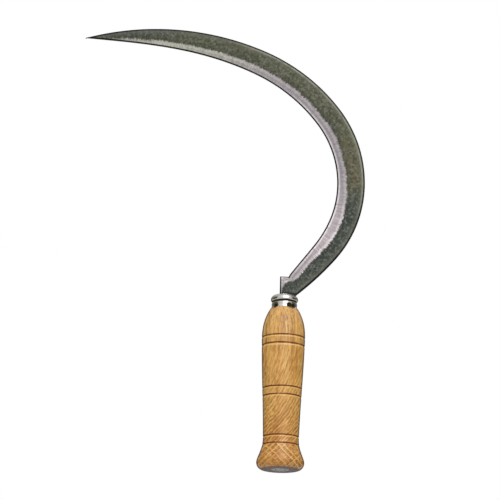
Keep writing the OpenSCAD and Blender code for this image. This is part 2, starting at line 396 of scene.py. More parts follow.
def subdivided(points, longest):
    """The open outline with points added so that no part of it is longer than that."""
    fine = [points[0]]
    for first, second in zip(points, points[1:]):
        count = math.ceil(math.dist(first, second) / longest)
        for number in range(1, count + 1):
            fine.append(tuple(lerp(a, b, number / count) for a, b in zip(first, second)))
    return fine


def stake_near(ferrule, point):
    """The nearest punch mark's outward direction and how many of its radii away the point is."""
    nearest, least = Vector((1, 0, 0)), math.inf
    for turn, height in STAKES:
        outward = Vector((math.cos(turn), math.sin(turn), 0))
        away = point - outward * point.dot(outward) - Vector((0, 0, CAP_LOW.z + height))
        if point.dot(outward) > 0 and away.length < least:
            nearest, least = outward, away.length
    return nearest, least / ferrule.stake_radius


def finish_piece(bm, name, node, material, sharp=math.radians(38)):
    """Turns a bmesh into a smooth-shaded piece that stands for a solid and rides on the body."""
    for face in bm.faces:
        face.smooth = True
    for edge in bm.edges:
        edge.smooth = not (edge.is_manifold and edge.calc_face_angle(0) > sharp)
    mesh = bpy.data.meshes.new(name)
    bm.to_mesh(mesh)
    bm.free()
    piece = bpy.data.objects.new(name, mesh)
    bpy.context.scene.collection.objects.link(piece)
    piece.data.materials.append(material)
    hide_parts(node)
    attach(piece, BODY)
    return piece


def carve(bm, cutter):
    """The first shape with the second cut out of it. Both are used up."""
    objects = []
    for shape in (bm, cutter):
        mesh = bpy.data.meshes.new("carving")
        shape.to_mesh(mesh)
        shape.free()
        made = bpy.data.objects.new("carving", mesh)
        bpy.context.scene.collection.objects.link(made)
        objects.append(made)
    cut = objects[0].modifiers.new("cut", "BOOLEAN")
    cut.operation = "DIFFERENCE"
    cut.solver = "EXACT"
    cut.object = objects[1]
    carved = bmesh.new()
    carved.from_object(objects[0], bpy.context.evaluated_depsgraph_get())
    for made in objects:
        mesh = made.data
        bpy.data.objects.remove(made)
        bpy.data.meshes.remove(mesh)
    return carved


# ---------------------------------------------------------------- shader helpers


def feed(tree, socket, value):
    """Fills a socket with a plain value or with another node's socket."""
    if isinstance(value, bpy.types.NodeSocket):
        tree.links.new(value, socket)
    else:
        socket.default_value = value


def put(tree, kind, links=None, **settings):
    """Adds a node, sets its properties and fills its sockets."""
    made = tree.nodes.new("ShaderNode" + kind)
    for key, value in settings.items():
        setattr(made, key, value)
    for key, value in (links or {}).items():
        feed(tree, made.inputs[key], value)
    return made


def calc(tree, operation, *values, clamp=False):
    """A Math node's output."""
    links = dict(enumerate(values))
    return put(tree, "Math", links, operation=operation, use_clamp=clamp).outputs[0]


def stretch(tree, vector, scale):
    """The vector times a scale for each axis."""
    return put(tree, "VectorMath", {0: vector, 1: scale}, operation="MULTIPLY").outputs[0]


def cloud(tree, vector, scale, detail=2.0, rough=0.5, distortion=0.0):
    """A noise texture's value, from 0 to 1."""
    links = {"Vector": vector, "Scale": scale, "Detail": detail, "Roughness": rough,
             "Distortion": distortion}
    return put(tree, "TexNoise", links).outputs[0]


def remap(tree, value, low, high, to_low=0.0, to_high=1.0, smooth=True):
    """The value moved from one range to another, and kept inside it."""
    links = {"Value": value, "From Min": low, "From Max": high, "To Min": to_low, "To Max": to_high}
    kind = "SMOOTHSTEP" if smooth else "LINEAR"
    return put(tree, "MapRange", links, interpolation_type=kind).outputs[0]


def times(tree, first, second, clamp=False):
    """Two values multiplied."""
    return calc(tree, "MULTIPLY", first, second, clamp=clamp)


def blend(tree, share, first, second):
    """The value that lies that share of the way from the first to the second."""
    return calc(tree, "MULTIPLY_ADD", calc(tree, "SUBTRACT", second, first), share, first)


def band(tree, value, rise, full, fade, end):
    """A mask that grows while the value goes from rise to full and goes again from fade to end."""
    return times(tree, remap(tree, value, rise, full), remap(tree, value, end, fade))


def waver(tree, value, size):
    """Noise from 0 to 1 as a shift of up to half that size either way."""
    return times(tree, calc(tree, "SUBTRACT", value, 0.5), size)


def tint(tree, factor, first, second):
    """Two colours mixed."""
    made = put(tree, "Mix", {0: factor}, data_type="RGBA")
    for index, value in ((6, first), (7, second)):
        plain = not isinstance(value, bpy.types.NodeSocket)
        feed(tree, made.inputs[index], (*value[:3], 1) if plain else value)
    return made.outputs[2]


def glaze(tree, colour, over, value, low, high, most=1.0):
    """The colour with another laid over it, more and more of it as the value goes from low to high."""
    return tint(tree, remap(tree, value, low, high, 0.0, most), colour, over)


def attribute(tree, name):
    """A value that the mesh holds for each vertex."""
    return put(tree, "Attribute", attribute_name=name).outputs["Fac"]


def new_group(name, inputs, outputs):
    """An empty shader node group and the sockets of its ends. Inputs are (name, kind, default)."""
    tree = bpy.data.node_groups.new(name, "ShaderNodeTree")
    for label, kind, default in inputs:
        socket = tree.interface.new_socket(label, in_out="INPUT", socket_type="NodeSocket" + kind)
        if default is not None:
            socket.default_value = default
    for label, kind in outputs:
        tree.interface.new_socket(label, in_out="OUTPUT", socket_type="NodeSocket" + kind)
    begin = tree.nodes.new("NodeGroupInput")
    end = tree.nodes.new("NodeGroupOutput")
    return tree, begin.outputs, end.inputs


def use_group(tree, name, links):
    """Places a node group and returns its output."""
    return put(tree, "Group", links, node_tree=bpy.data.node_groups[name]).outputs[0]


def make_streaks_group():
    """Fine lines that run one way: tool marks on metal, fibres in wood."""
    tree, take, give = new_group(
        "Fine Streaks",
        [("Vector", "Vector", None), ("Stretch", "Vector", (1.0, 1.0, 1.0)), ("Contrast", "Float", 1.0)],
        [("Value", "Float")])
    placed = stretch(tree, take["Vector"], take["Stretch"])
    fine = cloud(tree, placed, 1.0, 3.0, 0.6)
    broad = cloud(tree, placed, 0.31, 2.0, 0.5, 0.2)
    both = calc(tree, "MULTIPLY_ADD", broad, 0.8, times(tree, fine, 1.2))
    centred = times(tree, calc(tree, "SUBTRACT", both, 1.0), take["Contrast"])
    tree.links.new(calc(tree, "ADD", centred, 0.5, clamp=True), give["Value"])


def make_grime_group():
    """Patches of dirt or tarnish, gathered where a mask asks for them."""
    tree, take, give = new_group(
        "Grime",
        [("Vector", "Vector", None), ("Scale", "Float", 100.0), ("Gather", "Float", 0.0),
         ("Amount", "Float", 0.5)],
        [("Mask", "Float")])
    patches = cloud(tree, take["Vector"], take["Scale"], 5.0, 0.62, 0.3)
    level = calc(tree, "MULTIPLY_ADD", take["Gather"], 0.6, patches)
    mask = remap(tree, level, 0.52, 0.95)
    tree.links.new(times(tree, mask, take["Amount"], clamp=True), give["Mask"])


def make_ragged_group():
    """A mask whose border is broken up, for the end of a ground or worn surface."""
    tree, take, give = new_group(
        "Ragged Border",
        [("Depth", "Float", 0.0), ("Vector", "Vector", None), ("Scale", "Float", 500.0),
         ("Reach", "Float", 0.001), ("Softness", "Float", 0.0002)],
        [("Mask", "Float")])
    coarse = cloud(tree, take["Vector"], take["Scale"], 4.0, 0.65)
    shift = waver(tree, coarse, take["Reach"])
    depth = calc(tree, "MULTIPLY_ADD", shift, 2.0, take["Depth"])
    share = calc(tree, "DIVIDE", depth, take["Softness"])
    tree.links.new(remap(tree, share, -1.0, 1.0), give["Mask"])


def make_groups():
    """Builds each shared node group once."""
    for name, make in (("Fine Streaks", make_streaks_group), ("Grime", make_grime_group),
                       ("Ragged Border", make_ragged_group)):
        if name not in bpy.data.node_groups:
            make()


def new_material(name):
    """A material with an empty tree, its Principled BSDF and the object's own coordinates."""
    made = bpy.data.materials.new(name)
    made.use_nodes = True
    tree = made.node_tree
    tree.nodes.clear()
    shader = put(tree, "BsdfPrincipled")
    end = tree.nodes.new("ShaderNodeOutputMaterial")
    tree.links.new(shader.outputs[0], end.inputs[0])
    place = put(tree, "TexCoord").outputs["Object"]
    return made, tree, shader, place


def wire(tree, shader, **sockets):
    """Links or sets sockets of a shader, named with underscores for spaces."""
    for key, value in sockets.items():
        feed(tree, shader.inputs[key.replace("_", " ")], value)


# ---------------------------------------------------------------- materials


def forged_steel(blade):
    """Dark forge scale, a chamfered back with a painted highlight, and a cross-ground bevel with a ragged
    border, a painted highlight beside it and painted shade along the edges.
    """
    made, tree, shader, place = new_material("Forged Steel")
    along, across, inside, depth = (
        attribute(tree, name) for name in ("along", "across", "inside", "grind"))
    _, side, height = put(tree, "SeparateXYZ", {0: place}).outputs
    skin = put(tree, "CombineXYZ", {0: along, 1: across, 2: side}).outputs[0]
    front = remap(tree, side, 0.0004, -0.0002)
    rear_depth = calc(tree, "SUBTRACT", depth, 0.0045)
    faced = blend(tree, front, rear_depth, depth)
    # Each stroke of the wheel ends at its own place, so the border is combed as well as ragged.
    comb = use_group(tree, "Fine Streaks", {"Vector": skin, "Stretch": (1500, 60, 0), "Contrast": 1.8})
    comb = waver(tree, comb, remap(tree, along, 0.006, 0.025, 0.0003, 0.0013))
    combed = calc(tree, "ADD", comb, faced)
    ground = use_group(tree, "Ragged Border", {
        "Depth": combed, "Vector": place, "Scale": 480, "Reach": 0.0016, "Softness": 0.0008})
    tipward = remap(tree, along, 0.23, 0.33)

    # Forge scale: bluish near the heel and at the tip, browner above the heel and olive in between.
    patch = waver(tree, cloud(tree, skin, 42, 3.0, 0.6), 0.07)
    reach = calc(tree, "ADD", along, patch)
    scale = glaze(tree, blade.scale_colour, (0.082, 0.072, 0.037), reach, 0.175, 0.125)
    blue = times(tree, remap(tree, along, 0.31, 0.37), remap(tree, across, 0.009, 0.004))
    blue = calc(tree, "MAXIMUM", blue, remap(tree, reach, 0.120, 0.090))
    scale = tint(tree, blue, scale, blade.heel_colour)
    blotch = cloud(tree, place, 150, 4.0, 0.6, 0.4)
    scale = glaze(tree, scale, (0.108, 0.113, 0.087), blotch, 0.40, 0.66, 0.35)
    speckle = cloud(tree, place, 500, 4.0, 0.72)
    scale = glaze(tree, scale, (0.150, 0.155, 0.125), speckle, 0.51, 0.63, 0.75)
    scale = glaze(tree, scale, (0.018, 0.021, 0.015), speckle, 0.49, 0.38, 0.80)
    # Small dark pits lie along the border of the bevel, and the scale is paler towards the back.
    near = times(tree, remap(tree, faced, -0.0050, -0.0012), remap(tree, cloud(
        tree, stretch(tree, skin, (900, 520, 0)), 1.0, 2.0), 0.47, 0.57))
    scale = tint(tree, times(tree, near, 0.80), scale, (0.022, 0.024, 0.018))
    scale = glaze(tree, scale, (0.130, 0.133, 0.105), across, 0.0065, 0.0020, 0.32)
    # The chamfer along the back is painted brighter as a painted highlight, least at both ends.
    painted_highlight = band(tree, across, 0.0013, 0.0018, 0.0022, 0.0031)
    painted_highlight = times(tree, painted_highlight, remap(tree, along, 0.075, 0.115, 0.15, 1.0))
    painted_highlight = times(tree, painted_highlight, remap(tree, along, 0.310, 0.260))
    highlight_breakup = cloud(tree, skin, 260, 3.0, 0.6)
    painted_highlight = times(tree, painted_highlight, remap(tree, highlight_breakup, 0.3, 0.6, 0.25, 0.8))
    scale = tint(tree, painted_highlight, scale, (0.215, 0.220, 0.175))

    # The bevel: streaks square to the edge, duller above the heel, speckled with tarnish.
    stroke = use_group(tree, "Fine Streaks", {"Vector": skin, "Stretch": (950, 150, 0), "Contrast": 1.7})
    steel = glaze(tree, blade.ground_colour, blade.dull_colour, along, 0.085, 0.130)
    steel = tint(tree, tipward, steel, (0.300, 0.300, 0.250))
    # It is painted brightest beside the border as a painted highlight, and is bright in a whetted line just
    # inside the edge.
    border_highlight = band(tree, combed, -0.0004, 0.0008, 0.0018, 0.0032)
    beside = tint(tree, tipward, (0.475, 0.440, 0.460), (0.520, 0.515, 0.445))
    beside = glaze(tree, beside, (0.560, 0.515, 0.530), along, 0.105, 0.070)
    steel = tint(tree, times(tree, border_highlight, 0.85), steel, beside)
    whet = band(tree, inside, 0.0008, 0.0014, 0.0019, 0.0030)
    whet = times(tree, whet, remap(tree, along, 0.240, 0.200, 0.0, 0.8))
    steel = tint(tree, whet, steel, blade.bright_colour)
    steel = glaze(tree, steel, blade.bright_colour, stroke, 0.50, 0.95, 0.35)
    steel = glaze(tree, steel, (0.18, 0.16, 0.17), stroke, 0.45, 0.08, 0.50)
    tarnish = cloud(tree, skin, 780, 3.0, 0.6)
    steel = glaze(tree, steel, (0.20, 0.18, 0.17), tarnish, 0.54, 0.68, 0.45)
    stain = use_group(tree, "Grime", {"Vector": skin, "Scale": 120, "Amount": 0.3})
    steel = tint(tree, stain, steel, (0.20, 0.18, 0.16))
    colour = tint(tree, ground, scale, steel)
    # Painted shade darkens the very edge, the narrow face of the back and the neck beside the ferrule.
    rim = calc(tree, "MINIMUM", across, inside)
    width = calc(tree, "MULTIPLY_ADD", tipward, 0.0003, 0.0015)
    painted_edge_shade = remap(tree, calc(tree, "DIVIDE", rim, width), 1.0, 0.6, 0.0, 0.97)
    painted_edge_shade = calc(tree, "MAXIMUM", painted_edge_shade, remap(tree, height, 0.1476, 0.1463, 0.0, 0.97))
    colour = tint(tree, painted_edge_shade, colour, (0.006, 0.006, 0.005))
    # The riveted end is hammered bright.
    colour = glaze(tree, colour, (0.36, 0.355, 0.37), height, 0.004, 0.001)

    rough_scale = remap(tree, speckle, 0.3, 0.7, 0.40, 0.56, smooth=False)
    rough_steel = remap(tree, stroke, 0.0, 1.0, 0.44, 0.30, smooth=False)
    rough = blend(tree, ground, rough_scale, rough_steel)
    metal = remap(tree, ground, 0.0, 1.0, 0.72, 1.0, smooth=False)
    pits = times(tree, cloud(tree, skin, 1100, 4.0, 0.65), 0.5)
    dents = calc(tree, "ADD", cloud(tree, skin, 150, 2.0), pits)
    marks = times(tree, stroke, 0.35)
    relief = blend(tree, ground, dents, marks)
    bump = put(tree, "Bump", {"Height": relief, "Strength": 0.4, "Distance": 0.0003}).outputs[0]
    wire(tree, shader, Base_Color=colour, Roughness=rough, Metallic=metal, Normal=bump)
    return made


def plated_sheet(ferrule):
    """Bright plating with turning lines, scuffs, and dirt and painted shade in the groove, the punch marks,
    the rim and round the slot.
    """
    made, tree, shader, place = new_material("Plated Sheet")
    recess = attribute(tree, "mark")
    scuff = use_group(tree, "Fine Streaks", {"Vector": place, "Stretch": (160, 160, 5200), "Contrast": 1.4})
    worn = cloud(tree, place, 420, 5.0, 0.65)
    # Dirt and painted shade: the mark darkens the punch marks, the groove, the rim and the dome round the
    # slot, with the olive stain below as well.
    dirt_and_shade = use_group(tree, "Grime", {"Vector": place, "Scale": 260, "Gather": calc(
        tree, "SUBTRACT", recess, 0.25), "Amount": 0.97})
    plate = glaze(tree, ferrule.plate_colour, (0.74, 0.715, 0.69), scuff, 0.2, 0.8)
    plate = glaze(tree, plate, (0.50, 0.49, 0.45), worn, 0.56, 0.75, 0.35)
    stain = use_group(tree, "Grime", {"Vector": place, "Scale": 420, "Gather": calc(
        tree, "MULTIPLY", recess, 1.6), "Amount": 0.7})
    plate = tint(tree, stain, plate, (0.20, 0.20, 0.06))
    colour = tint(tree, dirt_and_shade, plate, ferrule.grime_and_shade_colour)
    rough = remap(tree, worn, 0.35, 0.75, 0.13, 0.30)
    rough = calc(tree, "MULTIPLY_ADD", dirt_and_shade, 0.45, rough)
    metal = calc(tree, "SUBTRACT", 1.0, times(tree, dirt_and_shade, 0.85))
    bump = put(tree, "Bump", {"Height": scuff, "Strength": 0.12, "Distance": 0.0001}).outputs[0]
    shader.inputs["Specular IOR Level"].default_value = 0.12
    wire(tree, shader, Base_Color=colour, Roughness=rough, Metallic=metal, Normal=bump)
    return made


def varnished_beech(handle):
    """Beech with slanting growth lines, flecks and fibres under clear varnish, and burnt lines."""
    made, tree, shader, place = new_material("Varnished Beech")
    axes = put(tree, "SeparateXYZ", {0: place}).outputs
    burn_and_highlight = attribute(tree, "mark")
    burn = calc(tree, "MAXIMUM", burn_and_highlight, 0.0)
    # The grain runs straight under the ferrule and slants more and more towards the pommel.
    drop = calc(tree, "MAXIMUM", calc(tree, "SUBTRACT", 0.112, axes[2]), 0.0)
    slant = times(tree, times(tree, drop, drop), 5.0)
    sway = waver(tree, cloud(tree, place, 16, 2.0), 0.008)
    ripple = waver(tree, cloud(tree, stretch(tree, place, (170, 170, 32)), 1.0, 4.0, 0.6), 0.0042)
    sway = calc(tree, "ADD", sway, ripple)
    broad = cloud(tree, stretch(tree, place, (120, 120, 18)), 1.0, 3.0, 0.55)

    def growth(across, lean, spacing):
        """Pale and dark growth lines where planes across the log meet the turned surface."""
        level = calc(tree, "MULTIPLY_ADD", axes[0], across, times(tree, axes[1], 0.16))
        level = calc(tree, "ADD", calc(tree, "ADD", level, lean), sway)
        rings = calc(tree, "DIVIDE", level, spacing)
        share = calc(tree, "FRACT", rings)
        pale_line = band(tree, share, 0.56, 0.72, 0.76, 0.90)
        dark_line = band(tree, share, 0.10, 0.28, 0.36, 0.54)
        chance = put(tree, "TexWhiteNoise", {"W": calc(tree, "FLOOR", rings)}, noise_dimensions="1D")
        each = remap(tree, chance.outputs[0], 0.0, 1.0, 0.2, 1.0, smooth=False)
        return times(tree, pale_line, each), times(tree, dark_line, each)

    pale, dark = growth(0.97, slant, handle.ring_spacing)
    # The lines show most in the lower half.
    clear = remap(tree, axes[2], 0.090, 0.045, 0.55, 1.0)
    pale = times(tree, times(tree, pale, clear), remap(tree, broad, 0.34, 0.56, 0.40, 1.0))
    dark = times(tree, dark, clear)
    # In the pommel two coarser sets of lines cross, with dark wood between them.
    turned = remap(tree, axes[2], 0.0235, 0.0175)
    rising, between = growth(0.80, times(tree, axes[2], -0.80), handle.figure_spacing)
    falling, beyond = growth(0.80, times(tree, axes[2], 0.85), handle.figure_spacing)
    figure = times(tree, calc(tree, "MAXIMUM", rising, falling), turned)
    hollow = times(tree, calc(tree, "MAXIMUM", between, beyond), turned)
    plain = calc(tree, "MULTIPLY_ADD", turned, -0.65, 1.0)
    pale = calc(tree, "MAXIMUM", times(tree, pale, plain), figure)
    dark = calc(tree, "MAXIMUM", times(tree, dark, plain), times(tree, hollow, 1.5))

    # Fibres and the short dark flecks lie along the grain.
    leaning = calc(tree, "ADD", axes[0], slant)
    grain = put(tree, "CombineXYZ", {0: leaning, 1: axes[1], 2: axes[2]}).outputs[0]
    fibre = use_group(tree, "Fine Streaks", {"Vector": grain, "Stretch": (900, 900, 75), "Contrast": 1.9})
    fleck = cloud(tree, stretch(tree, grain, (800, 800, 200)), 1.0, 3.0, 0.6)
    dark_fleck = remap(tree, fleck, 0.53, 0.68)
    pale_fleck = remap(tree, fleck, 0.46, 0.30)

    colour = glaze(tree, handle.wood_colour, handle.pale_colour, broad, 0.3, 0.7, 0.5)
    # The wood is more orange towards the pommel, and painted paler under the ferrule as painted light from
    # above.
    colour = glaze(tree, colour, (0.44, 0.105, 0.0), axes[2], 0.060, 0.015, 0.50)
    colour = glaze(tree, colour, (0.95, 0.66, 0.33), axes[2], 0.090, 0.130, 0.20)
    colour = tint(tree, remap(tree, fibre, 0.60, 0.10, 0.0, 0.50, smooth=False), colour, handle.dark_colour)
    colour = tint(tree, remap(tree, fibre, 0.60, 0.95, 0.0, 0.45, smooth=False), colour, handle.pale_colour)
    colour = tint(tree, times(tree, dark_fleck, 0.50), colour, handle.dark_colour)
    colour = tint(tree, times(tree, dark, 0.46, clamp=True), colour, handle.dark_colour)
    colour = tint(tree, times(tree, pale, 0.95), colour, handle.pale_colour)
    colour = tint(tree, times(tree, pale_fleck, 0.60), colour, handle.pale_colour)
    # The flat end shows end grain, painted darker and greyer as painted shade on the face turned down.
    end = remap(tree, axes[2], 0.0006, 0.0001)
    pores = remap(tree, cloud(tree, place, 2600, 2.0), 0.55, 0.7)
    shaded_end_grain = tint(tree, pores, (0.30, 0.25, 0.205), (0.13, 0.10, 0.075))
    # The rim of that end is painted dark brown to near black as painted shade at its edge.
    out = calc(tree, "SQRT", calc(tree, "MULTIPLY_ADD", axes[0], axes[0], times(tree, axes[1], axes[1])))
    shaded_end_grain = glaze(tree, shaded_end_grain, (0.115, 0.078, 0.050), out, 0.0100, 0.0125, 0.85)
    shaded_end_grain = glaze(tree, shaded_end_grain, (0.018, 0.012, 0.010), out, 0.0130, 0.0140, 0.9)
    colour = tint(tree, times(tree, end, 0.9), colour, shaded_end_grain)
    used = use_group(tree, "Grime", {"Vector": place, "Scale": 55, "Gather": burn, "Amount": 0.25})
    colour = tint(tree, used, colour, (0.22, 0.10, 0.035))
    # A painted highlight makes a pale rim below each burnt line.
    colour = glaze(tree, colour, handle.pale_colour, burn_and_highlight, -0.12, -0.6, 0.85)
    # Burnt lines vary in depth of colour round the handle and scorch the wood beside them.
    heat = cloud(tree, stretch(tree, place, (150, 150, 500)), 1.0, 3.0, 0.6)
    scorch = times(tree, burn, remap(tree, heat, 0.28, 0.6, 0.45, 1.05))
    colour = glaze(tree, colour, handle.burn_colour, scorch, 0.08, 0.72)

    # A bruise under the second blow of the punch.
    bruise = put(tree, "VectorMath", {0: place, 1: BRUISE}, operation="DISTANCE").outputs["Value"]
    colour = glaze(tree, colour, (0.05, 0.03, 0.012), bruise, 0.0015, 0.0007, 0.85)
    # Varnish seen edge on looks thicker and redder.
    # Painted shade: the wood is painted dark red where it is seen edge on, darkening its outline.
    sidelong = put(tree, "LayerWeight", {"Blend": 0.5}).outputs["Facing"]
    colour = glaze(tree, colour, (0.060, 0.014, 0.006), sidelong, 0.62, 0.80, 0.90)

    rough = remap(tree, fibre, 0.0, 1.0, 0.56, 0.42, smooth=False)
    rough = calc(tree, "MULTIPLY_ADD", burn, 0.25, rough)
    coat = times(tree, remap(tree, cloud(tree, place, 70, 3.0), 0.3, 0.7, 0.09, 0.20),
                calc(tree, "SUBTRACT", 1.0, times(tree, burn, 0.8)))
    height = calc(tree, "MULTIPLY_ADD", fleck, -0.5, fibre)
    bump = put(tree, "Bump", {"Height": height, "Strength": 0.25, "Distance": 0.0002}).outputs[0]
    wire(tree, shader, Base_Color=colour, Roughness=rough, Coat_Weight=coat, Coat_Roughness=0.22,
         Normal=bump)
    return made


def dull_steel(washer):
    """Plain steel with turning lines, small rust spots and dirt."""
    made, tree, shader, place = new_material("Dull Steel")
    worn = cloud(tree, place, 600, 5.0, 0.65)
    rust = use_group(tree, "Grime", {"Vector": place, "Scale": 330, "Gather": attribute(tree, "mark"),
                                     "Amount": 0.6})
    scuff = use_group(tree, "Fine Streaks", {"Vector": place, "Stretch": (2400, 300, 300), "Contrast": 1.3})
    colour = glaze(tree, washer.steel_colour, (0.27, 0.275, 0.29), scuff, 0.2, 0.8)
    colour = tint(tree, rust, colour, (0.13, 0.065, 0.035))
    rough = calc(tree, "MULTIPLY_ADD", rust, 0.35, remap(tree, worn, 0.3, 0.7, 0.30, 0.46))
    metal = calc(tree, "SUBTRACT", 1.0, times(tree, rust, 0.8))
    bump = put(tree, "Bump", {"Height": worn, "Strength": 0.2, "Distance": 0.0001}).outputs[0]
    wire(tree, shader, Base_Color=colour, Roughness=rough, Metallic=metal, Normal=bump)
    return made


# ---------------------------------------------------------------- operators


class SICKLE_OT_blade(bpy.types.Operator):
    """Forges the blade with its heel, neck and tang"""
    bl_idname = "sickle.blade"
    bl_label = "Forge Blade"

    def execute(self, context):
        make_groups()
        blade = context.scene.sickle_blade
        bm = sweep(forging_rows(blade, context.scene.sickle_washer))
        # Hammer work leaves the dark faces a little uneven, and the bevel stays true.
        broad, fine, dent, fade = 90, 260, 0.07 * MM, 3 * MM
        grind = bm.verts.layers.float["grind"]
        for vertex in bm.verts:
            if vertex.co.z > WOOD_HIGH.z and vertex[grind] < 0:
                wave = noise.noise(vertex.co * broad) + 0.5 * noise.noise(vertex.co * fine)
                vertex.co.y += dent * wave * min(1, -vertex[grind] / fade)
        finish_piece(bm, "forged_blade", "blade", forged_steel(blade), math.radians(50))
        return {"FINISHED"}


class SICKLE_OT_ferrule(bpy.types.Operator):
    """Presses the ferrule, slots it for the neck and stakes its rim"""
    bl_idname = "sickle.ferrule"
    bl_label = "Press Ferrule"

    def execute(self, context):
        make_groups()
        ferrule = context.scene.sickle_ferrule
        sheet, skirt, bead = ferrule.sheet, ferrule.skirt_radius, ferrule.bead_height
        low, top, wide = CAP_LOW.z, CAP_HIGH.z, CAP_HIGH.x
        groove = 0.75 * MM
        # The outside from the rim over the groove and the bead to the dome, then the inside back down.
        outer = rounded([
            (wide, low), (skirt + 0.15 * MM, low + 0.5 * MM), (skirt, low + 1.6 * MM),
            (skirt, bead - 2.75 * MM), (skirt - groove, bead - 2.05 * MM),
            (skirt - groove, bead - 1.55 * MM), (wide + 0.05 * MM, bead - 1.05 * MM),
            (wide + 0.12 * MM, bead + 0.9 * MM),
            (wide - 0.5 * MM, bead + 2.35 * MM), (wide - 2.4 * MM, top - 0.4 * MM), (wide - 5.2 * MM, top),
            (0, top)], 3)
        inner = rounded([
            (0, top - sheet), (wide - 5.4 * MM, top - sheet), (wide - 2.9 * MM, top - 1.25 * MM),
            (wide - 1.35 * MM, bead + 1.9 * MM), (wide - 0.95 * MM, bead + 0.5 * MM),
            (wide - 1.0 * MM, bead - 0.5 * MM), (skirt - groove - sheet, bead - 1.3 * MM),
            (skirt - groove - sheet, bead - 2.2 * MM), (skirt - sheet, bead - 3.1 * MM),
            (skirt - sheet, low + 1.6 * MM), (wide - sheet, low)], 2)
        bm = lathe(subdivided(outer, 0.3 * MM) + subdivided(inner, 0.6 * MM), FACETS)
        cutter = bmesh.new()
        slot_over, slot_height, corner = 1.2 * MM, 6 * MM, 0.5 * MM
        left, right = NECK_X - ferrule.slot_gap, BACK_START.x + slot_over
        half = context.scene.sickle_blade.neck_thickness / 2 + ferrule.slot_gap
        size = Matrix.Diagonal((right - left, 2 * half, slot_height, 1))
        place = Matrix.Translation(((left + right) / 2, 0, WOOD_HIGH.z + slot_height / 2))
        bmesh.ops.create_cube(cutter, size=1, matrix=place @ size)
        upright = [edge for edge in cutter.edges if abs(edge.verts[0].co.z - edge.verts[1].co.z) > MM]
        bmesh.ops.bevel(cutter, geom=upright, offset=corner, offset_type="OFFSET", affect="EDGES",
                        segments=4, profile=0.5, material=-1)
        bm = carve(bm, cutter)
        mark = bm.verts.layers.float.get("mark") or bm.verts.layers.float.new("mark")
        # Dirt and painted shade darken the punch marks, the groove, the rim and the dome round the slot.
        groove_z, groove_reach, rim_reach = bead - 1.9 * MM, 0.7 * MM, 0.35 * MM
        slot_reach, stake_reach = 0.9 * MM, 1.05
        for vertex in bm.verts:
            outward, gap = stake_near(ferrule, vertex.co)
            groove_share = math.exp(-((vertex.co.z - groove_z) / groove_reach) ** 2)
            rim_share = math.exp(-(vertex.co.z - low) / rim_reach)
            past_x = max(left - vertex.co.x, vertex.co.x - right, 0)
            past_y = max(abs(vertex.co.y) - half, 0)
            beside = math.hypot(past_x, past_y) / slot_reach
            slot_share = math.exp(-beside ** 2) if vertex.co.z > bead else 0
            stake_share = math.exp(-(gap / stake_reach) ** 4)
            vertex[mark] = 2.6 * stake_share + 1.4 * groove_share + 0.5 * rim_share + 2.2 * slot_share
            vertex.co -= outward * ferrule.stake_depth * math.exp(-gap ** 3)
        finish_piece(bm, "pressed_ferrule", "ferrule", plated_sheet(ferrule))
        return {"FINISHED"}


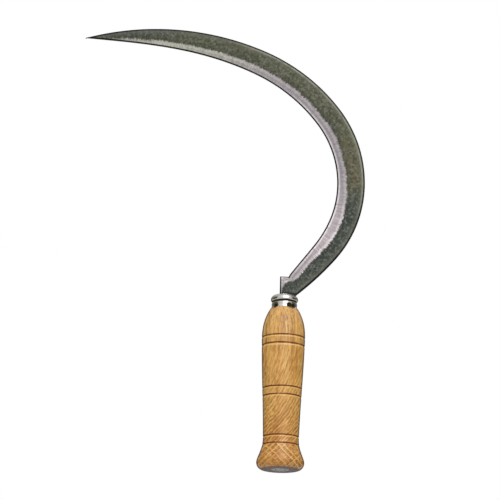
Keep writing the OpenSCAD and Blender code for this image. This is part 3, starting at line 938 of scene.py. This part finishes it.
class SICKLE_OT_handle(bpy.types.Operator):
    """Turns the beech handle and burns its lines"""
    bl_idname = "sickle.handle"
    bl_label = "Turn Handle"

    def execute(self, context):
        make_groups()
        handle = context.scene.sickle_handle
        ferrule = context.scene.sickle_ferrule
        outline, marks = self.outline(handle, ferrule)
        bm = lathe(outline, FACETS, marks)
        # The punch drives the ferrule into the wood and darkens it there.
        lowest, innermost, bruised, bruise_reach = CAP_LOW.z - 6 * MM, handle.bore_radius + MM, 0.75, 1.7
        mark = bm.verts.layers.float["mark"]
        for vertex in bm.verts:
            if vertex.co.z > lowest and vertex.co.to_2d().length > innermost:
                outward, gap = stake_near(ferrule, vertex.co)
                vertex[mark] += bruised * math.exp(-(gap / bruise_reach) ** 2)
                vertex.co -= outward * ferrule.stake_depth * math.exp(-gap ** 3)
        finish_piece(bm, "turned_handle", "handle", varnished_beech(handle))
        return {"FINISHED"}

    def outline(self, handle, ferrule):
        """The closed outline of the wood and how burnt it is at each point, with a painted highlight below
        each burnt line given as negative values.
        """
        pommel_radius, rim_z, top = WOOD_HIGH.x - HAIR, CAP_LOW.z, WOOD_HIGH.z
        flare_power, bow, shoulder_power = 0.75, 0.3, 2.6
        bevel_in, bevel_down = 1.8 * MM, 4.2 * MM
        burn_reach, highlight_below, highlight_reach, highlight_most = 1.05, 1.25, 0.42, 0.8
        pair_tops = (26.8 * MM, 66.6 * MM, 108.9 * MM)
        lines = [height - share * handle.line_gap for height in pair_tops for share in (0, 1)]

        def radius_at(height):
            """Radius of the smooth wood at a height above the pommel's widest part."""
            if height < handle.waist_height:
                share = (height - handle.pommel_height) / (handle.waist_height - handle.pommel_height)
                flare = (1 + math.cos(math.pi * share ** flare_power)) / 2
                return lerp(handle.waist_radius, pommel_radius, flare)
            if height < handle.grip_height:
                share = (height - handle.waist_height) / (handle.grip_height - handle.waist_height)
                share -= bow * math.sin(TURN * share) / TURN
                return lerp(handle.waist_radius, handle.grip_radius, share)
            share = (height - handle.grip_height) / (rim_z - handle.grip_height)
            return lerp(handle.grip_radius, handle.rim_radius, share ** shoulder_power)

        pommel_steps, coarse, fine = 22, 1.1 * MM, 0.11 * MM
        heights = []
        height = handle.pommel_height
        while height < rim_z:
            heights.append(height)
            near = min(abs(height - line) for line in lines)
            height += fine if near < handle.line_width else coarse
        recess = WASHER_HIGH.z
        points = [(handle.bore_radius, recess), (WASHER_HIGH.x, recess), (WASHER_HIGH.x, 0.0)]
        for number in range(pommel_steps):
            turn = math.pi / 2 * number / pommel_steps
            points.append((lerp(handle.end_radius, pommel_radius, math.sin(turn)),
                           handle.pommel_height * (1 - math.cos(turn))))
        marks = [0.0] * len(points)
        for height in heights:
            gap = min(abs(height - line) for line in lines) / (handle.line_width / 2)
            cut = handle.line_depth * math.sqrt(max(0, 1 - gap * gap))
            points.append((radius_at(height) - cut, height))
            below = [(line - height) / handle.line_width for line in lines]
            painted_highlight = max(math.exp(-((drop - highlight_below) / highlight_reach) ** 2) for drop in below)
            marks.append(math.exp(-(gap / burn_reach) ** 2) - highlight_most * painted_highlight)
        spigot = ferrule.skirt_radius - ferrule.sheet
        tail = [(handle.rim_radius, rim_z), (spigot, rim_z), (spigot, top - bevel_down),
                (spigot - bevel_in, top), (handle.bore_radius, top)]
        return points + tail, marks + [0.0] * len(tail)


class SICKLE_OT_washer(bpy.types.Operator):
    """Turns the washer that the tang is riveted over"""
    bl_idname = "sickle.washer"
    bl_label = "Turn Washer"

    def execute(self, context):
        make_groups()
        washer = context.scene.sickle_washer
        play = 0.03 * MM
        thick, wide, edge = WASHER_HIGH.z, WASHER_HIGH.x - play, 0.25 * MM
        outline = [
            (washer.hole_radius, 1.1 * MM), (washer.rivet_radius + 0.05 * MM, 0.3 * MM),
            (washer.rivet_radius + 0.2 * MM, 0.05 * MM), (washer.rivet_radius + 0.5 * MM, 0.0),
            (wide - edge, 0.0), (wide - 0.07 * MM, 0.07 * MM), (wide, edge), (wide, thick),
            (washer.hole_radius, thick)]
        marks = [0.6, 1.0, 0.9, 0.3, 0.1, 0.9, 1.0, 0.2, 0.2]
        bm = lathe(outline, WASHER_FACETS, marks)
        finish_piece(bm, "rivet_washer", "tang_washer", dull_steel(washer))
        return {"FINISHED"}


class SICKLE_OT_stage(bpy.types.Operator):
    """Sets the camera, the pale floor and the soft lights"""
    bl_idname = "sickle.stage"
    bl_label = "Set Stage"

    def execute(self, context):
        scene = context.scene
        stage = scene.sickle_stage
        scene.view_settings.view_transform = "Standard"
        self.add_camera(scene, stage)
        self.add_floor(scene, stage)
        self.add_world(scene)
        aim = Vector((0, 0, 0.2))
        for name, spot, size, watts, colour in (
                ("key", (0.42, -1.70, 1.30), 1.4, 21, (1.0, 0.985, 0.96)),
                ("fill", (-1.9, -0.3, 0.7), 1.2, 5, (0.96, 0.98, 1.0)),
                ("back", (0.5, 1.4, 1.9), 1.2, 16, (1.0, 1.0, 1.0))):
            light = bpy.data.lights.new(name, "AREA")
            light.size, light.energy, light.color = size, watts, colour
            made = bpy.data.objects.new(name, light)
            made.location = spot
            made.visible_glossy = name != "fill"
            made.rotation_euler = (Vector(spot) - aim).to_track_quat("Z", "Y").to_euler()
            scene.collection.objects.link(made)
        return {"FINISHED"}

    def add_camera(self, scene, stage):
        """A long lens that looks up a little from in front."""
        camera = bpy.data.cameras.new("camera")
        camera.lens, camera.sensor_width = stage.lens, 36
        made = bpy.data.objects.new("camera", camera)
        ahead = Vector((0, math.cos(stage.pitch), math.sin(stage.pitch)))
        upright = Vector((0, -math.sin(stage.pitch), math.cos(stage.pitch)))
        side = Vector((1, 0, 0))
        right = math.cos(stage.roll) * side + math.sin(stage.roll) * upright
        up = math.cos(stage.roll) * upright - math.sin(stage.roll) * side
        turn = Matrix((right, up, -ahead)).transposed().to_4x4()
        made.matrix_world = Matrix.Translation(
            Vector((stage.aim_x, 0, stage.aim_z)) - stage.distance * ahead) @ turn
        scene.collection.objects.link(made)
        scene.camera = made

    def add_floor(self, scene, stage):
        """A pale floor that fades out with distance and is clear from below."""
        bm = bmesh.new()
        bmesh.ops.create_circle(bm, cap_ends=True, segments=96, radius=stage.floor_radius * 1.02)
        mesh = bpy.data.meshes.new("floor")
        bm.to_mesh(mesh)
        bm.free()
        made = bpy.data.objects.new("floor", mesh)
        scene.collection.objects.link(made)
        material, tree, shader, place = new_material("Pale Floor")
        far = put(tree, "VectorMath", {0: place}, operation="LENGTH").outputs["Value"]
        fade = remap(tree, far, 0.45 * stage.floor_radius, stage.floor_radius, 1.0, 0.0)
        mottle = remap(tree, cloud(tree, place, 30, 4.0), 0.3, 0.7, 0.0, 0.06)
        colour = tint(tree, mottle, stage.floor_colour, (0.7, 0.7, 0.69))
        wire(tree, shader, Base_Color=colour, Roughness=0.7)
        above = calc(tree, "SUBTRACT", put(tree, "LightPath").outputs["Is Camera Ray"],
                     put(tree, "NewGeometry").outputs["Backfacing"], clamp=True)
        clear = put(tree, "BsdfTransparent").outputs[0]
        mixed = put(tree, "MixShader", {0: times(tree, fade, above), 1: clear, 2: shader.outputs[0]})
        end = next(node for node in tree.nodes if node.type == "OUTPUT_MATERIAL")
        tree.links.new(mixed.outputs[0], end.inputs[0])
        made.data.materials.append(material)

    def add_world(self, scene):
        """White behind the object, and soft light from the front, from above and from below."""
        world = bpy.data.worlds.new("studio")
        world.use_nodes = True
        tree = world.node_tree
        tree.nodes.clear()
        way = put(tree, "SeparateXYZ", {0: put(tree, "TexCoord").outputs["Generated"]}).outputs
        front = remap(tree, way[1], -0.30, -0.50, 0.0, 0.48)
        front = calc(tree, "ADD", front, remap(tree, way[1], -0.70, -0.97, 0.0, 0.20))
        front = times(tree, front, remap(tree, way[2], -0.15, -0.50, 1.0, 0.30))
        behind = remap(tree, way[1], 0.20, 0.55, 0.0, 0.10)
        above = remap(tree, way[2], 0.15, 0.90, 0.0, 0.45)
        below = remap(tree, way[2], -0.06, -0.40, 0.0, 0.62)
        below = times(tree, below, remap(tree, way[1], -0.30, -0.75, 1.0, 0.30))
        level = calc(tree, "ADD", calc(tree, "ADD", front, above), below)
        sideways = remap(tree, calc(tree, "ABSOLUTE", way[0]), 0.84, 0.95, 1.0, 0.12)
        level = calc(tree, "ADD", calc(tree, "MULTIPLY_ADD", level, sideways, 0.06), behind)
        hue = tint(tree, remap(tree, level, 0.1, 0.6), (1.0, 0.97, 0.72), (1.0, 1.0, 1.0))
        seen = put(tree, "Background", {"Color": (1, 1, 1, 1), "Strength": 1.0}).outputs[0]
        light = put(tree, "Background", {"Color": hue, "Strength": level}).outputs[0]
        direct = put(tree, "LightPath").outputs["Is Camera Ray"]
        mixed = put(tree, "MixShader", {0: direct, 1: light, 2: seen}).outputs[0]
        end = tree.nodes.new("ShaderNodeOutputWorld")
        tree.links.new(mixed, end.inputs[0])
        scene.world = world


class SICKLE_PT_panel(bpy.types.Panel):
    """Lists the sickle's pieces and their settings"""
    bl_idname = "SICKLE_PT_panel"
    bl_label = "Hand Sickle"
    bl_space_type = "VIEW_3D"
    bl_region_type = "UI"
    bl_category = "Sickle"

    def draw(self, context):
        for operator, settings in STEPS:
            box = self.layout.box()
            box.operator(operator.bl_idname)
            group = getattr(context.scene, settings)
            for name in group.bl_rna.properties.keys():
                if name not in ("rna_type", "name"):
                    box.prop(group, name)


SETTINGS = {
    "sickle_blade": SickleBladeSettings,
    "sickle_ferrule": SickleFerruleSettings,
    "sickle_handle": SickleHandleSettings,
    "sickle_washer": SickleWasherSettings,
    "sickle_stage": SickleStageSettings,
}
STEPS = (
    (SICKLE_OT_blade, "sickle_blade"),
    (SICKLE_OT_ferrule, "sickle_ferrule"),
    (SICKLE_OT_handle, "sickle_handle"),
    (SICKLE_OT_washer, "sickle_washer"),
    (SICKLE_OT_stage, "sickle_stage"),
)
CLASSES = (*SETTINGS.values(), *(operator for operator, _ in STEPS), SICKLE_PT_panel)


def register():
    """Registers the classes and gives the scene its settings."""
    for item in CLASSES:
        bpy.utils.register_class(item)
    for name, group in SETTINGS.items():
        setattr(bpy.types.Scene, name, bpy.props.PointerProperty(type=group))


def unregister():
    """Takes the settings and the classes away again."""
    for name in SETTINGS:
        delattr(bpy.types.Scene, name)
    for item in reversed(CLASSES):
        bpy.utils.unregister_class(item)


def main():
    """Builds every piece and the stage."""
    register()
    bpy.ops.sickle.blade()
    bpy.ops.sickle.ferrule()
    bpy.ops.sickle.handle()
    bpy.ops.sickle.washer()
    bpy.ops.sickle.stage()


if __name__ == "__main__":
    main()
